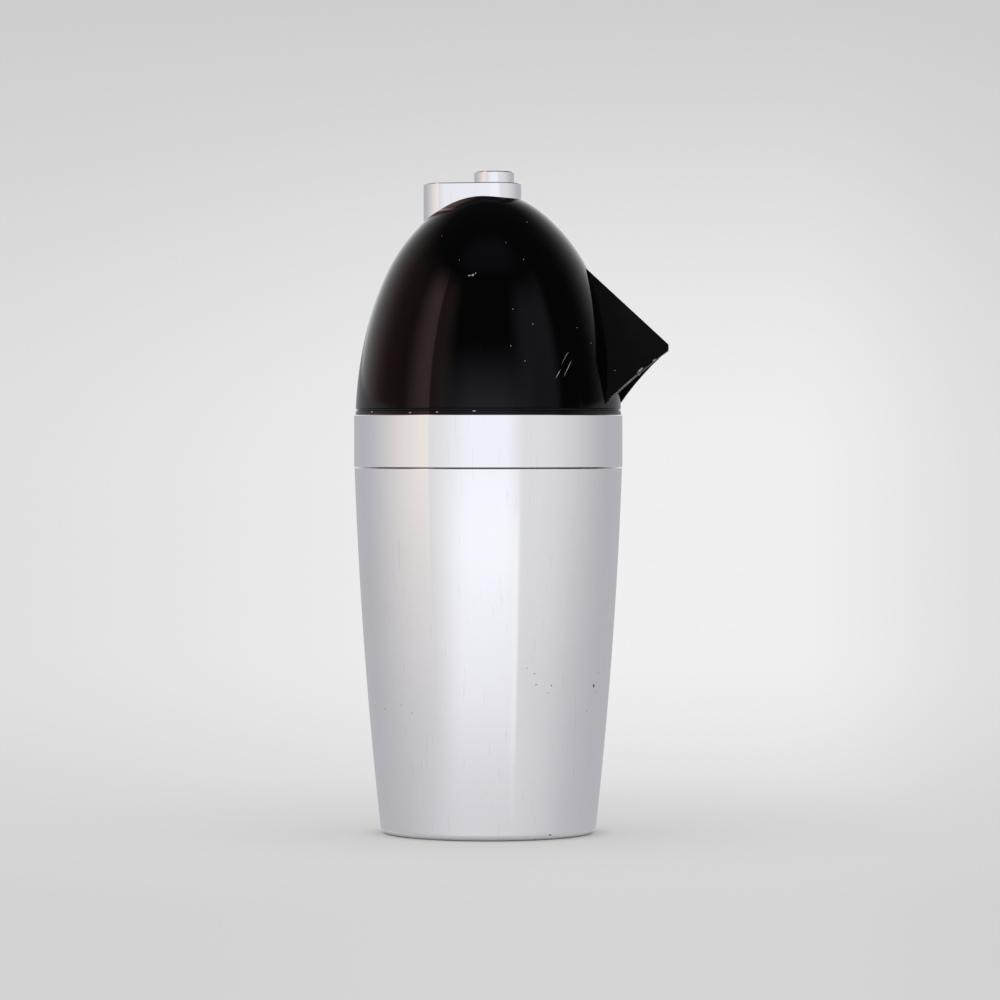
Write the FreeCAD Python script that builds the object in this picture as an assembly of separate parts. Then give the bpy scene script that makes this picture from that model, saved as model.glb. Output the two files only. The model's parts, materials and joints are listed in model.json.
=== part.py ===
# Household soda siphon: a tapered chrome bottle under a screwed-on head with an enamelled dome.
# Millimetres. The origin is the centre of the base, +Z is up and +X points out of the spout.
import FreeCAD, Part

import math
import os

Vector = FreeCAD.Vector
UP = Vector(0, 0, 1)
FRONT = Vector(1, 0, 0)
HALF_RIGHT = math.sqrt(0.5)

# Clearances
RUNNING = 0.05
SEATED = 0.05
JOINT_LINE = 0.3
BUTTON_GAP = 0.06
NOZZLE_HOLE_GAP = 0.2
BULB_GAP = 0.2

# Bottle
BOTTLE_TOP_R = 49.45
BOTTLE_TAPER = 9.55
BOTTLE_BELLY = 1.1
BOTTLE_H = 134.95
BOTTLE_WALL = 1.2
BASE_CORNER_R = 3.0

# Bottle shoulder and neck
SHOULDER_RISE = 1.05
SHOULDER_SET = 1.45
SHOULDER_WALL = 1.2
SHOULDER_SKIRT_H = 5.0
SHOULDER_BEND = 12.0
SHOULDER_BEND_DROP = 0.3
NECK_R = 19.0
NECK_WALL = 2.5
NECK_H = 16.0
NECK_FILLET_R = 3.0
THREAD_H = 12.0
GASKET_H = 2.2

# Collar band and dome
BAND_PROUD = 0.15
BAND_WALL = 1.4
BAND_H = 19.15
BAND_EDGE = 0.4
DOME_STEP = 0.4
DOME_SINK = 4.4
DOME_WALL = 1.1
BEAD_RISE = 1.9
BEAD_DEPTH = 0.35
BEAD_W = 0.8

# Spout hood, measured from the dome's widest circle and the band's top edge
HOOD_REACH = 19.6
HOOD_NOSE_CUT = 1.2
HOOD_TIP_RISE = 24.8
HOOD_RIDGE_RISE = 54.1
HOOD_ROOT_RISE = 4.5
HOOD_ROOT_Y = 14.7
HOOD_WALL = 1.0
HOOD_OVERRUN = 1.6

# Bridge, button and charger plug
BUTTON_X = 2.2
BRIDGE_SPAN = 16.5
BRIDGE_RISE = 2.1
BRIDGE_DEPTH = 22.1
BRIDGE_R = 10.0
BRIDGE_EDGE_R = 1.0
BRIDGE_FLANGE = 1.2
BRIDGE_FLANGE_H = 1.5
BUTTON_R = 7.35
BUTTON_H = 11.4
BUTTON_PROUD = 4.3
BUTTON_EDGE_R = 1.3
PLUG_H = 6.0
PLUG_EDGE = 0.4
COIN_SLOT_W = 1.8
COIN_SLOT_DEPTH = 1.9
PAD_H = 1.6
PAD_HOLE_R = 1.5
PAD_MARGIN = 0.6

# Charger bulb, its tube and its seal
BULB_R = 8.4
BULB_H = 65.0
BULB_NECK_R = 4.2
BULB_NECK_H = 5.0
BULB_SHOULDER_H = 9.0
BULB_CROWN_H = 5.0
BULB_LIP = 0.6
CHARGER_TUBE_WALL = 0.8
SOCKET_WALL = 1.4
SOCKET_DEPTH = 8.0
SEAL_H = 1.6
SEAL_MARGIN = 0.5
SEAL_RISE = 5.9
SEAL_RECESS = 4.0

# Valve body
SKIRT_WALL = 3.45
VALVE_CAP_H = 5.8
VALVE_FLANGE_H = 3.0
COLUMN_R = 6.8
BOSS_H = 6.2
CHAMBER_R = 5.2
SEAT_RISE = 11.0
SEAT_H = 2.0
SEAT_BORE_R = 3.2
OUTLET_R = 4.0
OUTLET_RISE = 5.0
OUTLET_H = 11.0
PACKING_H = 4.0
GLAND_THREAD_H = 4.0
GLAND_HEAD_H = 3.0

# Valve stem
ROD_R = 2.0
ROD_SPIGOT_H = 7.0
DISC_R = 4.6
DISC_H = 1.5
HOLDER_H = 2.5
GUIDE_R = 2.6
GUIDE_H = 3.0

# Return spring
SPRING_WIRE_R = 0.45
SPRING_COIL_R = 3.7
SPRING_TURNS = 3
WIRE_SIDES = 6

# Dip tube
DIP_TUBE_R = 3.5
DIP_TUBE_WALL = 0.9
DIP_TUBE_LIFT = 4.8
DIP_TOP_RISE = 3.0
DIP_FLANGE_R = 4.8
DIP_FLANGE_H = 1.2
DIP_NOTCH_W = 1.6
DIP_NOTCH_H = 2.0
DIP_NUT_HEAD_R = 7.0
DIP_NUT_HEAD_H = 4.0
DIP_WASHER_H = 1.0

# Nozzle
NOZZLE_SETBACK = 14.6
NOZZLE_TUBE_R = 3.0
NOZZLE_TUBE_WALL = 0.8
NOZZLE_BEND_R = 6.0
NOZZLE_DROP = 8.0
NOZZLE_TIP_WALL = 1.15
NOZZLE_TIP_H = 3.0
NOZZLE_TIP_LIP = 1.0
NOZZLE_TIP_EDGE = 0.7
NOZZLE_NUT_R = 5.4
NOZZLE_NUT_W = 5.0
NOZZLE_BOSS_R = 5.0
NOZZLE_BOSS_L = 9.8

# Check valve beside the charger's pin
CHECK_OFFSET = 3.9
CHECK_BORE_R = 2.6
CHECK_WALL = 1.8
CHECK_BOSS_H = 4.2
CHECK_ROOF_DROP = 0.5
CHECK_BALL_R = 2.0
CHECK_SEAT_R = 1.2
CHECK_SEAT_H = 2.5
CHECK_PLUG_H = 2.2
CHECK_PLUG_HOLE_R = 0.8
CHECK_COIL_R = 1.7
CHECK_WIRE_R = 0.25
CHECK_TURNS = 3
CHECK_NEST = 0.7
GAS_HOLE_R = 0.8
GAS_HOLE_RISE = 1.6

# Piercing pin
PIN_R = 1.6
PIN_BORE_R = 0.5
PIN_TIP_R = 0.75
PIN_POINT_H = 2.5
PIN_FOOT_RISE = 2.6

# Head plate and its screws
PLATE_T = 1.2
PLATE_MARGIN = 2.0
PLATE_RIM_DROP = 8.4
PLATE_RIM_H = 12.0
PLATE_RIM_GAP = 0.1
SCREW_R = 1.5
SCREW_GRIP = 2.0
SCREW_HOLE_DEPTH = 2.2
SCREW_HEAD_R = 2.2
SCREW_HEAD_H = 1.5
SCREW_SLOT = 0.8
SCREW_COUNT = 4
SCREW_FIRST_ANGLE = 45.0

# Radii and places that follow from the sizes above
BOTTLE_LOW_R = BOTTLE_TOP_R - BOTTLE_TAPER
BOTTLE_MID_R = (BOTTLE_TOP_R + BOTTLE_LOW_R) / 2 + BOTTLE_BELLY
BAND_R = BOTTLE_TOP_R + BAND_PROUD
DOME_R = BAND_R - DOME_STEP
CHARGER_X = BUTTON_X - BRIDGE_SPAN
CHECK_X = CHARGER_X + CHECK_OFFSET
BULB_BORE_R = BULB_R + BULB_GAP
CHARGER_TUBE_R = BULB_BORE_R + CHARGER_TUBE_WALL
SOCKET_R = CHARGER_TUBE_R + SEATED + SOCKET_WALL
NECK_BORE_R = NECK_R - NECK_WALL
SKIRT_BORE_R = NECK_R + RUNNING
VALVE_SKIRT_R = SKIRT_BORE_R + SKIRT_WALL
SCREW_CIRCLE_R = VALVE_SKIRT_R + SCREW_HEAD_R + 2 * SEATED
VALVE_FLANGE_R = SCREW_CIRCLE_R + SCREW_HEAD_R
HOOD_TIP_X = DOME_R + HOOD_REACH
NOZZLE_X = HOOD_TIP_X - HOOD_NOSE_CUT - NOZZLE_SETBACK
NOZZLE_BOSS_X = BUTTON_X + NOZZLE_BOSS_L

# Heights that follow from the sizes above, from the bottle up
SHOULDER_Z = BOTTLE_H + SHOULDER_RISE
SHOULDER_EDGE_Z = BOTTLE_H - SHOULDER_SET
NECK_TOP_Z = SHOULDER_Z + NECK_H
CAP_FLOOR_Z = NECK_TOP_Z + GASKET_H
CAP_TOP_Z = CAP_FLOOR_Z + VALVE_CAP_H
FLANGE_FLOOR_Z = CAP_TOP_Z - VALVE_FLANGE_H
BOSS_LOW_Z = CAP_FLOOR_Z - BOSS_H
CHECK_LOW_Z = CAP_FLOOR_Z - CHECK_BOSS_H
CHECK_ROOF_Z = CAP_TOP_Z - CHECK_ROOF_DROP
SEAT_Z = CAP_TOP_Z + SEAT_RISE
OUTLET_FLOOR_Z = SEAT_Z + SEAT_H
OUTLET_Z = OUTLET_FLOOR_Z + OUTLET_RISE
OUTLET_TOP_Z = OUTLET_FLOOR_Z + OUTLET_H
PACKING_TOP_Z = OUTLET_TOP_Z + PACKING_H
COLUMN_TOP_Z = PACKING_TOP_Z + GLAND_THREAD_H
DISC_FLOOR_Z = SEAT_Z - DISC_H
HOLDER_FLOOR_Z = DISC_FLOOR_Z - HOLDER_H
DIP_TOP_Z = CAP_FLOOR_Z + DIP_TOP_RISE
DIP_FLANGE_Z = DIP_TOP_Z - DIP_FLANGE_H
NOZZLE_END_Z = OUTLET_Z - NOZZLE_DROP
BAND_FOOT_Z = BOTTLE_H + JOINT_LINE
BAND_TOP_Z = BAND_FOOT_Z + BAND_H
BEAD_Z = BAND_TOP_Z + BEAD_RISE
DOME_CENTRE_Z = BAND_TOP_Z - DOME_SINK
HOOD_TIP_Z = BAND_TOP_Z + HOOD_TIP_RISE
RIDGE_Z = BAND_TOP_Z + HOOD_RIDGE_RISE
HOOD_ROOT_Z = BAND_TOP_Z + HOOD_ROOT_RISE
PLATE_RIM_Z = BAND_TOP_Z - PLATE_RIM_DROP

# Heights that follow from the gas bulb and its seal, up to the bridge and the dome over them
SEAL_FLOOR_Z = CAP_TOP_Z + SEAL_RISE
SOCKET_FLOOR_Z = SEAL_FLOOR_Z + SEAL_RECESS
SOCKET_TOP_Z = SOCKET_FLOOR_Z + SOCKET_DEPTH
BULB_FLOOR_Z = SEAL_FLOOR_Z + SEAL_H
PAD_FLOOR_Z = BULB_FLOOR_Z + BULB_H
PLUG_FLOOR_Z = PAD_FLOOR_Z + PAD_H
BRIDGE_TOP_Z = PLUG_FLOOR_Z + PLUG_H
BRIDGE_FOOT_Z = BRIDGE_TOP_Z - BRIDGE_DEPTH
BUTTON_TOP_Z = BRIDGE_TOP_Z + BUTTON_PROUD
BUTTON_FLOOR_Z = BUTTON_TOP_Z - BUTTON_H
ROD_TOP_Z = BUTTON_FLOOR_Z + ROD_SPIGOT_H
DOME_HALF_H = BRIDGE_TOP_Z - BRIDGE_RISE - DOME_CENTRE_Z


def turned(profile, x=0.0):
    """A solid of revolution about the upright line at x, from (radius, height) points.

    A point given as (mid, end) is the end of an arc through mid.
    """
    start = Vector(x + profile[0][0], 0, profile[0][1])
    here = start
    edges = []
    for step in profile[1:]:
        if isinstance(step[0], tuple):
            middle = Vector(x + step[0][0], 0, step[0][1])
            there = Vector(x + step[1][0], 0, step[1][1])
            edges.append(Part.Arc(here, middle, there).toShape())
        else:
            there = Vector(x + step[0], 0, step[1])
            edges.append(Part.LineSegment(here, there).toShape())
        here = there
    edges.append(Part.LineSegment(here, start).toShape())
    face = Part.Face(Part.Wire(edges))
    return face.revolve(Vector(x, 0, 0), UP, 360)


def rod(radius, low, high, x=0.0):
    """An upright cylinder between two heights."""
    return Part.makeCylinder(radius, high - low, Vector(x, 0, low), UP)


def ring(inner, outer, low, high, x=0.0):
    """An upright ring or tube between two heights."""
    return turned([(inner, low), (outer, low), (outer, high), (inner, high)], x)


def level_rod(radius, x_low, x_high, z):
    """A cylinder that points out of the spout."""
    return Part.makeCylinder(radius, x_high - x_low, Vector(x_low, 0, z), FRONT)


def prism(points, low, high):
    """An upright prism over a closed outline of (x, y) points."""
    corners = [Vector(px, py, low) for px, py in points]
    face = Part.Face(Part.makePolygon(corners + corners[:1]))
    return face.extrude(Vector(0, 0, high - low))


def hexagon(radius, low, high, x):
    """An upright hexagonal prism with the given corner radius."""
    angles = [math.radians(60 * side) for side in range(6)]
    return prism([(x + radius * math.cos(a), radius * math.sin(a)) for a in angles], low, high)


def stadium(radius, low, high):
    """An upright prism with round ends about the button and the charger."""
    length = BUTTON_X - CHARGER_X
    body = Part.makeBox(length, 2 * radius, high - low, Vector(CHARGER_X, -radius, low))
    for x in (BUTTON_X, CHARGER_X):
        body = body.fuse(rod(radius, low, high, x))
    return body.removeSplitter()


def coil(coil_r, wire_r, low, high, turns, x):
    """An open helical spring between two heights, of a wire with flat sides."""
    pitch = (high - low - 2 * wire_r) / turns
    path = Part.makeHelix(pitch, pitch * turns, coil_r)
    path.translate(Vector(x, 0, low + wire_r))
    corners = []
    for side in range(WIRE_SIDES + 1):
        angle = 2 * math.pi * side / WIRE_SIDES
        across = coil_r + wire_r * math.cos(angle)
        corners.append(Vector(x + across, 0, low + wire_r + wire_r * math.sin(angle)))
    return Part.Wire(path.Edges).makePipeShell([Part.makePolygon(corners)], True, True)


def solid_dome(radius, half_height):
    """The space under one half of an upright ellipsoid, down to the band's top edge."""
    ellipse = Part.Ellipse(
        Vector(0, 0, DOME_CENTRE_Z + half_height),
        Vector(radius, 0, DOME_CENTRE_Z),
        Vector(0, 0, DOME_CENTRE_Z),
    )
    edge_angle = math.acos((BAND_TOP_Z - DOME_CENTRE_Z) / half_height)
    curve = Part.ArcOfEllipse(ellipse, 0, edge_angle).toShape()
    apex = Vector(0, 0, DOME_CENTRE_Z + half_height)
    rim = Vector(radius * math.sin(edge_angle), 0, BAND_TOP_Z)
    centre = Vector(0, 0, BAND_TOP_Z)
    floor = Part.LineSegment(rim, centre).toShape()
    axis = Part.LineSegment(centre, apex).toShape()
    face = Part.Face(Part.Wire([curve, floor, axis]))
    return face.revolve(Vector(0, 0, 0), UP, 360)


def dome_radius(z, wall=0.0):
    """The dome's radius at a height, outside or a wall's thickness in."""
    share = (z - DOME_CENTRE_Z) / (DOME_HALF_H - wall)
    return (DOME_R - wall) * math.sqrt(1 - share * share)


def bottle_radius(z):
    """The bottle's outer radius at a height, on the arc through its foot, middle and rim."""
    foot = Vector(BOTTLE_LOW_R, 0, BASE_CORNER_R)
    middle = Vector(BOTTLE_MID_R, 0, BOTTLE_H / 2)
    side = Part.Circle(foot, middle, Vector(BOTTLE_TOP_R, 0, BOTTLE_H))
    return side.Center.x + math.sqrt(side.Radius ** 2 - (z - side.Center.z) ** 2)


def bottle_shell():
    inner_corner_r = BASE_CORNER_R - BOTTLE_WALL
    floor_r = BOTTLE_LOW_R - BASE_CORNER_R
    middle_z = BOTTLE_H / 2
    outer_turn = BASE_CORNER_R * HALF_RIGHT
    inner_turn = inner_corner_r * HALF_RIGHT
    outer_corner = (floor_r + outer_turn, BASE_CORNER_R - outer_turn)
    inner_corner = (floor_r + inner_turn, BASE_CORNER_R - inner_turn)
    return turned([
        (0, 0),
        (floor_r, 0),
        (outer_corner, (BOTTLE_LOW_R, BASE_CORNER_R)),
        ((BOTTLE_MID_R, middle_z), (BOTTLE_TOP_R, BOTTLE_H)),
        (BOTTLE_TOP_R - BOTTLE_WALL, BOTTLE_H),
        ((BOTTLE_MID_R - BOTTLE_WALL, middle_z), (BOTTLE_LOW_R - BOTTLE_WALL, BASE_CORNER_R)),
        (inner_corner, (floor_r, BOTTLE_WALL)),
        (0, BOTTLE_WALL),
    ])


def bottle_neck():
    """A pressed shoulder inside the shell's rim, drawn up into the neck."""
    skirt_z = SHOULDER_EDGE_Z - SHOULDER_SKIRT_H
    skirt_r = bottle_radius(skirt_z) - BOTTLE_WALL - SEATED
    fillet_turn = NECK_FILLET_R * (1 - HALF_RIGHT)
    inner_fillet_r = NECK_FILLET_R + NECK_WALL
    inner_turn = inner_fillet_r * (1 - HALF_RIGHT)
    under_z = SHOULDER_Z - SHOULDER_WALL
    edge_z = SHOULDER_EDGE_Z - SHOULDER_WALL
    bend_r = skirt_r - SHOULDER_BEND
    bend_z = SHOULDER_Z - SHOULDER_BEND_DROP
    return turned([
        (skirt_r, skirt_z),
        (skirt_r, SHOULDER_EDGE_Z),
        ((bend_r, bend_z), (NECK_R + NECK_FILLET_R, SHOULDER_Z)),
        ((NECK_R + fillet_turn, SHOULDER_Z + fillet_turn), (NECK_R, SHOULDER_Z + NECK_FILLET_R)),
        (NECK_R, NECK_TOP_Z),
        (NECK_BORE_R, NECK_TOP_Z),
        (NECK_BORE_R, under_z + inner_fillet_r),
        ((NECK_BORE_R + inner_turn, under_z + inner_turn), (NECK_BORE_R + inner_fillet_r, under_z)),
        ((bend_r, bend_z - SHOULDER_WALL), (skirt_r - SHOULDER_WALL, edge_z)),
        (skirt_r - SHOULDER_WALL, skirt_z),
    ])


def neck_gasket():
    return ring(NECK_BORE_R, NECK_R - SEATED, NECK_TOP_Z, CAP_FLOOR_Z)


def collar_band():
    return turned([
        (BAND_R - BAND_WALL, BAND_FOOT_Z),
        (BAND_R - BAND_EDGE, BAND_FOOT_Z),
        (BAND_R, BAND_FOOT_Z + BAND_EDGE),
        (BAND_R, BAND_TOP_Z - BAND_EDGE),
        (BAND_R - BAND_EDGE, BAND_TOP_Z),
        (BAND_R - BAND_WALL, BAND_TOP_Z),
    ])


def dome():
    shell = solid_dome(DOME_R, DOME_HALF_H)
    shell = shell.cut(solid_dome(DOME_R - DOME_WALL, DOME_HALF_H - DOME_WALL))
    bead_r = dome_radius(BEAD_Z)
    shell = shell.cut(turned([
        (bead_r - BEAD_DEPTH, BEAD_Z),
        (bead_r + BEAD_DEPTH, BEAD_Z - BEAD_W),
        (bead_r + BEAD_DEPTH, BEAD_Z + BEAD_W),
    ]))
    shell = shell.cut(stadium(BRIDGE_R + SEATED, BRIDGE_FOOT_Z, BRIDGE_TOP_Z))
    hole_x = dome_radius(OUTLET_Z, DOME_WALL) - NOZZLE_TUBE_R
    return shell.cut(level_rod(NOZZLE_TUBE_R + NOZZLE_HOLE_GAP, hole_x, BAND_R, OUTLET_Z))


def spout_hood():
    """Two flat walls that meet in a ridge, open below, with a blunt nose, fitted to the dome."""
    tip = Vector(HOOD_TIP_X, 0, HOOD_TIP_Z)
    ridge_foot = Vector(dome_radius(RIDGE_Z), 0, RIDGE_Z)
    root_x = math.sqrt(dome_radius(HOOD_ROOT_Z) ** 2 - HOOD_ROOT_Y ** 2)
    ridge_back = tip + (ridge_foot - tip) * HOOD_OVERRUN
    walls = []
    for side in (1, -1):
        root = Vector(root_x, side * HOOD_ROOT_Y, HOOD_ROOT_Z)
        root_back = tip + (root - tip) * HOOD_OVERRUN
        face = Part.Face(Part.makePolygon([tip, ridge_back, root_back, tip]))
        inward = (ridge_back - tip).cross(root_back - tip)
        inward.normalize()
        if inward.y * side > 0:
            inward = inward * -1
        walls.append(face.extrude(inward * HOOD_WALL))
    hood = walls[0].fuse(walls[1]).removeSplitter()
    nose_x = HOOD_TIP_X - HOOD_NOSE_CUT
    past_nose = Part.makeBox(HOOD_REACH, BAND_R, BAND_R, Vector(nose_x, -BAND_R / 2, HOOD_TIP_Z - BAND_R / 2))
    hood = hood.cut(past_nose)
    hood = hood.cut(rod(BAND_R, BOTTLE_H, BAND_TOP_Z))
    return hood.cut(solid_dome(DOME_R, DOME_HALF_H))


def top_edges(shape, height):
    """The edges that lie at a height."""
    return [e for e in shape.Edges if e.BoundBox.ZMin > height - SEATED]


def bridge_housing():
    """A bar with round ends through the dome's window, bored for the button and the charger."""
    block = stadium(BRIDGE_R, BRIDGE_FOOT_Z, BRIDGE_TOP_Z)
    block = block.makeFillet(BRIDGE_EDGE_R, top_edges(block, BRIDGE_TOP_Z))
    flange_top = BRIDGE_FOOT_Z + BRIDGE_FLANGE_H
    block = block.fuse(stadium(BRIDGE_R + BRIDGE_FLANGE, BRIDGE_FOOT_Z, flange_top))
    block = block.cut(rod(BUTTON_R + BUTTON_GAP, BRIDGE_FOOT_Z, BRIDGE_TOP_Z, BUTTON_X))
    return block.cut(rod(BULB_BORE_R, BRIDGE_FOOT_Z, BRIDGE_TOP_Z, CHARGER_X))


def head_plate():
    """A dished plate from under the valve body's flange out to a rim inside the band and dome."""
    rim_top = PLATE_RIM_Z + PLATE_RIM_H
    rim_r = dome_radius(rim_top, DOME_WALL) - PLATE_RIM_GAP
    rim_bore_r = rim_r - PLATE_T
    hub_r = VALVE_SKIRT_R + SEATED
    hub_edge_r = VALVE_FLANGE_R + PLATE_MARGIN
    hub_low = FLANGE_FLOOR_Z - PLATE_T
    plate = turned([
        (hub_r, hub_low),
        (hub_edge_r, hub_low),
        (rim_bore_r, PLATE_RIM_Z),
        (rim_r, PLATE_RIM_Z),
        (rim_r, rim_top),
        (rim_bore_r, rim_top),
        (rim_bore_r, PLATE_RIM_Z + 2 * PLATE_T),
        (hub_edge_r, FLANGE_FLOOR_Z),
        (hub_r, FLANGE_FLOOR_Z),
    ])
    for x, y in screw_places():
        hole = Part.makeCylinder(SCREW_R + SEATED, PLATE_T, Vector(x, y, hub_low), UP)
        plate = plate.cut(hole)
    return plate


def screw_places():
    """Centres of the head plate's screws, on a circle and clear of the spout's line."""
    step = 360 / SCREW_COUNT
    angles = [math.radians(SCREW_FIRST_ANGLE + step * index) for index in range(SCREW_COUNT)]
    return [(SCREW_CIRCLE_R * math.cos(a), SCREW_CIRCLE_R * math.sin(a)) for a in angles]


def plate_screws():
    head_top = FLANGE_FLOOR_Z - PLATE_T
    head_low = head_top - SCREW_HEAD_H
    screws = []
    for x, y in screw_places():
        shank = Part.makeCylinder(SCREW_R, PLATE_T + SCREW_GRIP, Vector(x, y, head_top), UP)
        head = Part.makeCylinder(SCREW_HEAD_R, SCREW_HEAD_H, Vector(x, y, head_low), UP)
        slot_corner = Vector(x - SCREW_HEAD_R, y - SCREW_SLOT / 2, head_low)
        slot = Part.makeBox(2 * SCREW_HEAD_R, SCREW_SLOT, SCREW_SLOT, slot_corner)
        screws.append(shank.fuse(head).removeSplitter().cut(slot))
    return Part.makeCompound(screws)


def valve_body():
    """A cap that screws on the neck, with a valve column, a charger socket and a check valve's boss."""
    skirt_low = NECK_TOP_Z - THREAD_H
    body = turned([
        (0, CAP_FLOOR_Z),
        (SKIRT_BORE_R, CAP_FLOOR_Z),
        (SKIRT_BORE_R, skirt_low),
        (VALVE_SKIRT_R, skirt_low),
        (VALVE_SKIRT_R, FLANGE_FLOOR_Z),
        (VALVE_FLANGE_R, FLANGE_FLOOR_Z),
        (VALVE_FLANGE_R, CAP_TOP_Z),
        (0, CAP_TOP_Z),
    ])
    bosses = [
        rod(COLUMN_R, BOSS_LOW_Z, COLUMN_TOP_Z, BUTTON_X),
        rod(SOCKET_R, FLANGE_FLOOR_Z, SOCKET_TOP_Z, CHARGER_X),
        rod(CHECK_BORE_R + CHECK_WALL, CHECK_LOW_Z, CAP_TOP_Z, CHECK_X),
        level_rod(NOZZLE_BOSS_R, BUTTON_X, NOZZLE_BOSS_X, OUTLET_Z),
    ]
    for boss in bosses:
        body = body.fuse(boss)
    cuts = [
        rod(CHAMBER_R, BOSS_LOW_Z, OUTLET_FLOOR_Z, BUTTON_X),
        rod(OUTLET_R, OUTLET_FLOOR_Z, OUTLET_TOP_Z, BUTTON_X),
        rod(CHAMBER_R, OUTLET_TOP_Z, COLUMN_TOP_Z, BUTTON_X),
        level_rod(NOZZLE_TUBE_R + SEATED, BUTTON_X, NOZZLE_BOSS_X, OUTLET_Z),
        rod(CHARGER_TUBE_R + SEATED, SOCKET_FLOOR_Z, SOCKET_TOP_Z, CHARGER_X),
        rod(BULB_NECK_R + SEAL_MARGIN + SEATED, SEAL_FLOOR_Z, SOCKET_FLOOR_Z, CHARGER_X),
        rod(PIN_R + SEATED, CHECK_ROOF_Z + GAS_HOLE_RISE - GAS_HOLE_R, SEAL_FLOOR_Z, CHARGER_X),
        rod(CHECK_BORE_R, CHECK_LOW_Z, CHECK_ROOF_Z, CHECK_X),
        rod(CHECK_SEAT_R, CHECK_ROOF_Z, CHECK_ROOF_Z + CHECK_SEAT_H, CHECK_X),
        level_rod(GAS_HOLE_R, CHARGER_X, CHECK_X, CHECK_ROOF_Z + GAS_HOLE_RISE),
    ]
    for x, y in screw_places():
        cuts.append(Part.makeCylinder(SCREW_R + SEATED, SCREW_HOLE_DEPTH, Vector(x, y, FLANGE_FLOOR_Z), UP))
    for cutter in cuts:
        body = body.cut(cutter)
    return body.removeSplitter()


def dip_tube():
    bore_r = DIP_TUBE_R - DIP_TUBE_WALL
    foot_z = BOTTLE_WALL + DIP_TUBE_LIFT
    tube = ring(bore_r, DIP_TUBE_R, foot_z, DIP_TOP_Z, BUTTON_X)
    flange = ring(bore_r, DIP_FLANGE_R, DIP_FLANGE_Z, DIP_TOP_Z, BUTTON_X)
    notch_corner = Vector(BUTTON_X - DIP_NOTCH_W / 2, -DIP_TUBE_R, foot_z)
    notch = Part.makeBox(DIP_NOTCH_W, 2 * DIP_TUBE_R, DIP_NOTCH_H, notch_corner)
    return tube.fuse(flange).removeSplitter().cut(notch)


def dip_tube_washer():
    return ring(DIP_TUBE_R + SEATED, CHAMBER_R - SEATED, DIP_FLANGE_Z - DIP_WASHER_H, DIP_FLANGE_Z, BUTTON_X)


def dip_tube_nut():
    head_low = BOSS_LOW_Z - DIP_NUT_HEAD_H
    top = DIP_FLANGE_Z - DIP_WASHER_H
    nut = rod(CHAMBER_R - SEATED, head_low, top, BUTTON_X)
    nut = nut.fuse(hexagon(DIP_NUT_HEAD_R, head_low, BOSS_LOW_Z, BUTTON_X))
    return nut.cut(rod(DIP_TUBE_R + SEATED, head_low, top, BUTTON_X)).removeSplitter()


def valve_seat():
    return ring(SEAT_BORE_R, CHAMBER_R - SEATED, SEAT_Z, OUTLET_FLOOR_Z, BUTTON_X)


def stem_packing():
    return ring(ROD_R + RUNNING, CHAMBER_R - SEATED, OUTLET_TOP_Z, PACKING_TOP_Z, BUTTON_X)


def gland_nut():
    top = COLUMN_TOP_Z + GLAND_HEAD_H
    nut = rod(CHAMBER_R - SEATED, PACKING_TOP_Z, top, BUTTON_X)
    nut = nut.fuse(hexagon(COLUMN_R, COLUMN_TOP_Z, top, BUTTON_X))
    return nut.cut(rod(ROD_R + RUNNING, PACKING_TOP_Z, top, BUTTON_X)).removeSplitter()


def bent_rod(radius, x_start):
    """The nozzle tube's run at one radius: forward, then down in a tight bend."""
    bend_x = NOZZLE_X - NOZZLE_BEND_R
    bend_z = OUTLET_Z - NOZZLE_BEND_R
    turn = NOZZLE_BEND_R * HALF_RIGHT
    start = Vector(x_start, 0, OUTLET_Z)
    bend_start = Vector(bend_x, 0, OUTLET_Z)
    bend_middle = Vector(bend_x + turn, 0, bend_z + turn)
    bend_end = Vector(NOZZLE_X, 0, bend_z)
    end = Vector(NOZZLE_X, 0, NOZZLE_END_Z)
    path = Part.Wire([
        Part.LineSegment(start, bend_start).toShape(),
        Part.Arc(bend_start, bend_middle, bend_end).toShape(),
        Part.LineSegment(bend_end, end).toShape(),
    ])
    section = Part.Wire(Part.makeCircle(radius, start, FRONT))
    return path.makePipeShell([section], True, False)


def nozzle_tube():
    start_x = BUTTON_X + OUTLET_R
    tube = bent_rod(NOZZLE_TUBE_R, start_x)
    return tube.cut(bent_rod(NOZZLE_TUBE_R - NOZZLE_TUBE_WALL, start_x))


def nozzle_nut():
    nut = hexagon(NOZZLE_NUT_R, 0, NOZZLE_NUT_W, 0)
    nut = nut.cut(rod(NOZZLE_TUBE_R + SEATED, 0, NOZZLE_NUT_W))
    nut.rotate(Vector(0, 0, 0), Vector(0, 1, 0), 90)
    nut.translate(Vector(NOZZLE_BOSS_X, 0, OUTLET_Z))
    return nut


def nozzle_tip():
    """A ring pressed on the nozzle tube's end, with a lip that narrows the jet's way out."""
    low = NOZZLE_END_Z - NOZZLE_TIP_LIP
    top = low + NOZZLE_TIP_H
    jet_r = NOZZLE_TUBE_R - NOZZLE_TUBE_WALL
    bore_r = NOZZLE_TUBE_R + SEATED
    tip_r = bore_r + NOZZLE_TIP_WALL
    return turned([
        (jet_r, low),
        (tip_r - NOZZLE_TIP_EDGE, low),
        (tip_r, low + NOZZLE_TIP_EDGE),
        (tip_r, top - NOZZLE_TIP_EDGE),
        (tip_r - NOZZLE_TIP_EDGE, top),
        (bore_r, top),
        (bore_r, NOZZLE_END_Z),
        (jet_r, NOZZLE_END_Z),
    ], NOZZLE_X)


def charger_tube():
    return ring(BULB_BORE_R, CHARGER_TUBE_R, SOCKET_FLOOR_Z, BRIDGE_FOOT_Z, CHARGER_X)


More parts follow.
